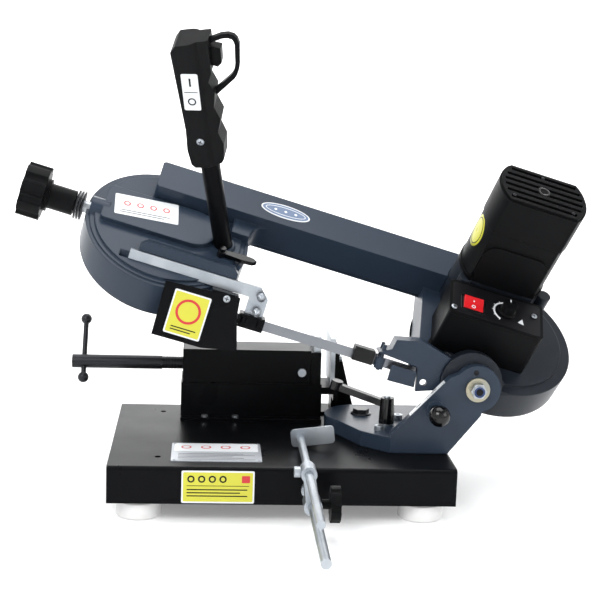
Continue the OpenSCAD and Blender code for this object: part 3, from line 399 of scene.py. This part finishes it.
plate = facing(BASE, 133.5, 64, 71.3, UPWARD, TO_BACK)
PLATE_DOTS = [(-38 + 25 * k, 20) for k in range(4)]
plate_lines = [rect(-48, 48 - 14 * (k % 3), -34 + 6 * k, -33 + 6 * k) for k in range(5)]
sticker("plate_front", plate, rounded(106, 36, 1.5, 0, -19.5), "alu", "base", lift=0.1)
sticker("plate_back", plate, rounded(106, 34, 1.5, 0, 19.5), "label_white", "base", lift=0.1)
marks("plate_lines", plate, plate_lines, "label_black", "base", z=0.42)
marks("plate_red", plate, dots(13, 6, PLATE_DOTS), "label_red", "base", z=0.42)
marks("plate_red_inner", plate, dots(9, 4.2, PLATE_DOTS), "label_white", "base", z=0.52)
for i, (x, y) in enumerate(((81, 28), (186, 28), (81, 100), (186, 100))):
    screw_head(f"plate_rivet_{i}", at(BASE, x, y, 71.3), 4.2, "base", mat="alu", h=0.9)

# ---------- swivel arm: angle scale along the ear, painted shade for the hole, bolt sockets ---
ear = facing(BASE, 400.5, 77, 142.4, (-0.721, 0, 0.693), (0, 1, 0))
sticker("angle_scale", ear, rounded(62, 11, 1.2), "label_white", "swivel_arm", thick=0.25)
ticks = [rect(-28 + 2.8 * k, -27.4 + 2.8 * k, -4.8, -1.4 if k % 5 == 0 else -2.8) for k in range(21)]
marks("angle_scale_ticks", ear, ticks, "label_black", "swivel_arm", z=0.3)
bars = [rect(-19, -10, 0.6, 2.8), rect(8, 17, 0.6, 2.8), rect(-6, 4, 3, 4)]
marks("angle_scale_bars", ear, bars, "label_black", "swivel_arm", z=0.3)
# Painted shade: a flat black disc on the ear stands in for the hole, which is not cut.
lathe("ear_pin_hole_shade", facing(BASE, 461, 69.9, 178, TO_FRONT, UPWARD),
      [(0, 0.1), (3, 0.1), (3.4, 0.3), (3.4, -0.3)], "label_black", "swivel_arm")
for i, (x, y) in enumerate(((345, 108), (377, 166))):
    screw_head(f"arm_bolt_socket_{i}", at(BASE, x, y, 96.6), 12, "swivel_arm", cross=False, h=0.8)
lathe("swivel_washer", at(BASE, 330, 190, 91), [(6.2, 0.02), (14, 0.02), (14, 1.2), (6.2, 1.2)],
      "dark_steel", "swivel_arm")
lathe("lever_cap", at(BASE, 358, 137, 128.4), [(0, 1.2), (3.5, 1.2), (4.4, 0.4), (4.4, -0.6)],
      "zinc", "lock_lever")
hinge_end = facing(BASE, 463.5, 55.4, 156.3, TO_FRONT, UPWARD)
lathe("nut_insert", hinge_end, [(4.6, -2), (7.0, -2), (7.0, 1.1), (4.6, 1.1)], "nylon_blue", "head")
lathe("nut_centre", hinge_end, [(0, 0.9), (3.8, 0.9), (4.5, 0.5), (4.5, -1)], "label_black", "head")
lathe("pin_knob_neck", facing(BASE, 411, 62, 129, TO_FRONT, UPWARD),
      [(7.05, -3), (7.6, -3), (7.6, 4), (7.05, 4)], "gloss_black", "lock_pin")

# ---------- vise: thread, jaw teeth ----------
thread = bpy.data.curves.new("vise_thread", "CURVE")
thread.dimensions = "3D"
thread.bevel_depth = 0.0007
thread.bevel_resolution = 1
line = thread.splines.new("POLY")
SCREW_Y, SCREW_Z = 262, 141.5
thread_start, thread_r, thread_pitch = 60, 8.25, 4.0
turns, per = 34, 20
line.points.add(turns * per)
for k in range(turns * per + 1):
    a = 2 * math.pi * k / per
    x = thread_start + thread_pitch * k / per
    p = BASE @ Vector((x, SCREW_Y + thread_r * math.cos(a), SCREW_Z + thread_r * math.sin(a)))
    line.points[k].co = (*p, 1)
thread.materials.append(MAT["dark_steel"])
thread_obj = bpy.data.objects.new("vise_thread", thread)
bpy.context.scene.collection.objects.link(thread_obj)
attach(thread_obj, "vise_screw")

jaw = facing(BASE, 289.5, 260, 154, (-1, 0, 0), UPWARD)
serrations = [rect(-38, 38, -30 + 6 * k, -29.2 + 6 * k) for k in range(11)]
marks("jaw_serrations", jaw, serrations, "steel", "base", z=0.0, thick=0.1)

# ---------- head: labels, badge, rims, seal ----------
top = at(HEAD, -246, 107, 38.0)
LABEL_TURN = 9.5
DRUM_DOTS = [(-26 + 17 * k, -1 + 2.9 * k) for k in range(4)]
drum_lines = [turned(rect(-34, 30 - 6 * k, -0.5, 0.5), LABEL_TURN, 2.2 - 0.8 * k, -10 - 4 * k)
              for k in range(2)]
sticker("drum_label", top, turned(rounded(84, 39, 2), LABEL_TURN), "label_white", "head", thick=0.3)
marks("drum_label_red", top, dots(9, 4.4, DRUM_DOTS), "label_red", "head", z=0.38)
marks("drum_label_white", top, dots(5.6, 2.6, DRUM_DOTS), "label_white", "head", z=0.48)
marks("drum_label_lines", top, drum_lines, "label_black", "head", z=0.38)
badge = at(HEAD, -69, 165, 55.0)
sticker("badge_rim", badge, ellipse(68, 27), "label_white", "head", thick=0.6)
sticker("badge_field", badge, ellipse(64, 23), "label_blue", "head", lift=0.5, thick=0.35)
ring_mark("badge_ring", badge, 56, 16.5, 1.0, "label_white", "head", z=0.85)
marks("badge_dots", badge, dots(4, 1.9, [(-14, 0), (0, 0), (14, 0)]), "label_white", "head", z=0.85)

# Seal between the two castings.
bm = bmesh.new()
seal_outline = [(148.3, 27), (150.3, 19), (188.6, 136.5), (188.6, 150), (186.8, 150), (186.8, 137.2)]
prism(bm, seal_outline, 21.5, 25.8)
add("frame_seal", bm, HEAD, "seal_rubber", "head", bevel=0.4)

# Guard sticker: white border, yellow field and plain printed shapes.
guard = facing(BLADE, -159, -28, -10, TO_FRONT, UPWARD)
sticker("guard_label_border", guard, rounded(47, 57, 2), "label_white", "guide_bar")
sticker("guard_label", guard, rounded(43, 53, 1.5), "label_yellow", "guide_bar", lift=0.25)
ring_mark("guard_ring", guard, 32, 32, 3.2, "label_red", "guide_bar", z=0.6, cy=4)
guard_lines = [rect(-16, 16 - 6 * k, -19 - 3.6 * k, -17.6 - 3.6 * k) for k in range(2)]
marks("guard_lines", guard, guard_lines, "label_black", "guide_bar", z=0.6)
screw_head("guard_screw", facing(BLADE, -118, -28, 24, TO_FRONT, UPWARD), 9, "guide_bar")
nut_profile = [(0, 2.6), (2.6, 2.6), (3, 0.2), (5.6, 0.2), (5.6, -4)]
for i, z in enumerate((16, 36)):
    place = facing(BLADE, -76, -16, z, TO_FRONT, UPWARD)
    lathe(f"guide_nut_{i}", place, nut_profile, "zinc", "guide_bar", steps=24)

# Blade teeth along the open run.
bm = bmesh.new()
pitch, first, last = 1.8, -88.0, 104.0
count = int((last - first) / pitch)
outline = [(first, -6.0)]
for k in range(count):
    x = first + pitch * k
    outline += [(x + pitch * 0.15, -7.1), (x + pitch * 0.35, -7.1), (x + pitch, -6.35)]
outline += [(last, -6.0)]
half_set = 0.42
low = [bm.verts.new((x, -half_set, z)) for x, z in outline]
high = [bm.verts.new((x, half_set, z)) for x, z in outline]
for i in range(len(outline) - 1):
    bm.faces.new((low[i], low[i + 1], high[i + 1], high[i]))
for row in (low, high):
    for k in range(count):
        i = 1 + 3 * k
        bm.faces.new((row[i - 1], row[i], row[i + 1], row[i + 2]))
add("blade_teeth", bm, BLADE, "spring_steel", "head")

# ---------- control panel ----------
PANEL_N = 92
ROCKER_U, ROCKER_V = 187, 54
KNOB_U, KNOB_V = 232, 58


def round_knob(r, deg):
    return (KNOB_U + r * math.cos(math.radians(deg)), KNOB_V + r * math.sin(math.radians(deg)))


panel = at(HEAD, 0, 0, PANEL_N)
sticker("panel_plate", at(HEAD, 219, 60, PANEL_N), rounded(120, 56, 4), "label_black", "head",
        lift=0.05, thick=0.15)
bm = bmesh.new()
bezel = [rounded(w, h, r, ROCKER_U, ROCKER_V) for w, h, r in ((34, 26, 2.5), (31.4, 23.4, 1.5))]
band(bm, bezel[0], bezel[1], -0.3, 0.8)
add("rocker_bezel", bm, panel, "gloss_black", "head", bevel=0.3)
arc = [round_knob(18, deg) for deg in range(60, 241, 12)]
arc += [round_knob(15.6, deg) for deg in range(240, 59, -12)]
arc_shapes = [[arc[i], arc[i + 1], arc[len(arc) - 2 - i], arc[len(arc) - 1 - i]] for i in range(15)]
marks("speed_arc", panel, arc_shapes, "label_white", "head", z=0.3)
marks("speed_wedge", panel, [[(248, 46), (256, 44), (254, 54)]], "label_white", "head", z=0.3)
speed_ticks = [turned(rect(15.6, 19.6, -0.4, 0.4), deg, KNOB_U, KNOB_V) for deg in range(60, 241, 30)]
marks("speed_ticks", panel, speed_ticks, "label_white", "head", z=0.32)
marks("knob_pointer", at(HEAD, KNOB_U, KNOB_V, 107.6), [rect(-0.7, 0.7, 1, 8.2)], "label_white",
      "speed_knob", z=0.4)
marks("rocker_on", at(HEAD, ROCKER_U, 59.3, 94.0), [rect(-0.8, 0.8, -2.6, 2.6)], "label_white",
      "rocker", z=0.5, thick=0.25)
ring_mark("rocker_off", at(HEAD, ROCKER_U, 48.6, 93.3), 5.4, 5.4, 0.9, "label_white", "rocker", z=0.35)
for i, (u, v) in enumerate(((161, 38), (270, 66))):
    screw_head(f"panel_screw_{i}", at(HEAD, u, v, 93.6), 8, "head", h=1.2)

# ---------- motor: end cap screws, ring, sticker ----------
MOTOR_U, MOTOR_V, MOTOR_R = 223, 135, 57.5
CAP_TOP = 235.2
for i, (u, v) in enumerate(((183, 110), (262, 110), (222, 163))):
    screw_head(f"cap_screw_{i}", at(HEAD, u, v, CAP_TOP - 0.4), 4.5, "head", mat="dark_steel", h=0.8)
cap = at(HEAD, MOTOR_U, MOTOR_V, CAP_TOP - 0.3)
lathe("cap_ring", cap, [(5.5, -0.5), (5.5, 0.7), (7.5, 0.7), (7.5, -0.5)], "gloss_black", "head")
lathe("cap_hub", cap, [(0, 0.2), (5.4, 0.2), (5.4, -0.4)], "black_plastic", "head")


def curved_oval(name, along, around, inner, lift, mat):
    """Oval patch, or ring from a share inner of its size, on the round left side of the motor."""
    steps, rows, thick = 48, 5, 0.3
    middle_turn, middle_n = math.radians(189), 153.5
    bm = bmesh.new()
    loops = []
    for r in (MOTOR_R + lift, MOTOR_R + lift + thick):
        for share in [inner + (1 - inner) * row / rows for row in range(rows + 1)]:
            loop = []
            for k in range(steps):
                t = 2 * math.pi * k / steps
                turn = middle_turn + share * around / 2 * math.sin(t) / MOTOR_R
                n = middle_n + share * along / 2 * math.cos(t)
                loop.append(bm.verts.new((MOTOR_U + r * math.cos(turn), MOTOR_V + r * math.sin(turn), n)))
            loops.append(loop)
    order = list(range(rows + 1)) + list(range(2 * rows + 1, rows, -1))
    for a, b in zip(order, order[1:] + order[:1]):
        for k in range(steps):
            j = (k + 1) % steps
            bm.faces.new((loops[a][k], loops[a][j], loops[b][j], loops[b][k]))
    return add(name, bm, HEAD, mat, "head", smooth=True)


curved_oval("motor_label", 47, 34, 0.02, -0.1, "label_yellow")
curved_oval("motor_label_ring", 40, 28, 0.92, 0.05, "label_black")

# ---------- handle: screw and label ----------
grip_side = facing(HEAD, -207, 72, 194, TO_FRONT, UPWARD)
screw_head("grip_screw", grip_side, 9.5, "head")
grip_label = facing(HEAD, -235, 72, 259, TO_FRONT, (-0.34, 0, 0.94))
sticker("grip_label", grip_label, rounded(20, 50, 2), "label_white", "head", thick=0.25)
marks("grip_label_on", grip_label, [rect(-1.1, 1.1, 8, 19)], "label_black", "head", z=0.36)
ring_mark("grip_label_off", grip_label, 10, 10, 1.6, "label_black", "head", z=0.36, cy=-13)
marks("grip_label_split", grip_label, [rect(-8, 8, -0.4, 0.4)], "label_black", "head", z=0.36)

# ---------- tension knob ----------
knob = HEAD @ Matrix.Translation((-405, 94, 22)) @ Matrix.Rotation(math.radians(-90), 4, "Y")
lathe("knob_cap", knob, [(0, 0.9), (10, 0.9), (13, 0.3), (13, -0.6)], "gloss_black", "tension_knob")

# ---------- floor that rises all round, light, camera ----------
bm = bmesh.new()
FLAT_R, RISE_R, WALL_TOP = 5.0, 2.5, 9.0
profile = [(0.5, 0.0), (2.5, 0.0), (4.8, 0.0), (FLAT_R, 0.0)]
for a in [math.radians(deg) for deg in range(10, 91, 10)]:
    profile.append((FLAT_R + RISE_R * math.sin(a), RISE_R - RISE_R * math.cos(a)))
profile.append((FLAT_R + RISE_R, WALL_TOP))
sides = 96
rows = [circle_verts(bm, r, z, sides) for r, z in profile]
for a, b in zip(rows, rows[1:]):
    for k in range(sides):
        j = (k + 1) % sides
        bm.faces.new((a[k], b[k], b[j], a[j]))
bm.faces.new(rows[0])
mesh = bpy.data.meshes.new("floor")
bm.to_mesh(mesh)
bm.free()
mesh.polygons.foreach_set("use_smooth", [True] * len(mesh.polygons))
mesh.materials.append(MAT["floor"])
floor = bpy.data.objects.new("floor", mesh)
bpy.context.scene.collection.objects.link(floor)
floor.location = (0, 0, -0.0002)

world = bpy.data.worlds.new("studio")
bpy.context.scene.world = world
world.use_nodes = True
world.node_tree.nodes["Background"].inputs["Color"].default_value = (0.90, 0.95, 1.0, 1)
world.node_tree.nodes["Background"].inputs["Strength"].default_value = 0.35


def area_light(name, place, target, size, power):
    light = bpy.data.lights.new(name, "AREA")
    light.shape = "RECTANGLE"
    light.size, light.size_y = size
    light.energy = power
    obj = bpy.data.objects.new(name, light)
    bpy.context.scene.collection.objects.link(obj)
    obj.location = place
    obj.rotation_euler = (Vector(target) - Vector(place)).to_track_quat("-Z", "Y").to_euler()


# The last light is for the raised back of the stage alone.
area_light("key", (-1.3, -1.6, 2.0), (0, 0, 0.2), (1.4, 1.0), 42)
area_light("fill", (1.9, -1.2, 1.1), (0, 0, 0.25), (1.2, 1.2), 14)
area_light("top", (0.1, 0.3, 2.4), (0, 0.1, 0), (2.2, 1.6), 42)
area_light("back", (0.2, 2.2, 1.5), (0, 0, 0.3), (2.4, 0.8), 16)
area_light("wall", (0.0, 2.6, 3.6), (0, 6.5, 1.6), (5.0, 1.5), 420)

# Camera in front of the saw and above it, turned a little to the right and rolled by two degrees.
camera = bpy.data.cameras.new("camera")
camera.sensor_width = 36.0
camera.lens = 81.8
cam = bpy.data.objects.new("camera", camera)
bpy.context.scene.collection.objects.link(cam)
pan, pitch, roll = math.radians(4.12), math.radians(10.01), math.radians(1.90)
ahead = Vector((math.sin(pan) * math.cos(pitch), math.cos(pan) * math.cos(pitch), -math.sin(pitch)))
right = Vector((math.cos(pan), -math.sin(pan), 0))
up = right.cross(ahead)
rolled_right = math.cos(roll) * right + math.sin(roll) * up
rolled_up = -math.sin(roll) * right + math.cos(roll) * up
turn = Matrix((rolled_right, rolled_up, -ahead)).transposed().to_4x4()
cam.matrix_world = Matrix.Translation((-0.125, -1.628, 0.563)) @ turn
bpy.context.scene.camera = cam
bpy.context.scene.view_settings.view_transform = "Standard"
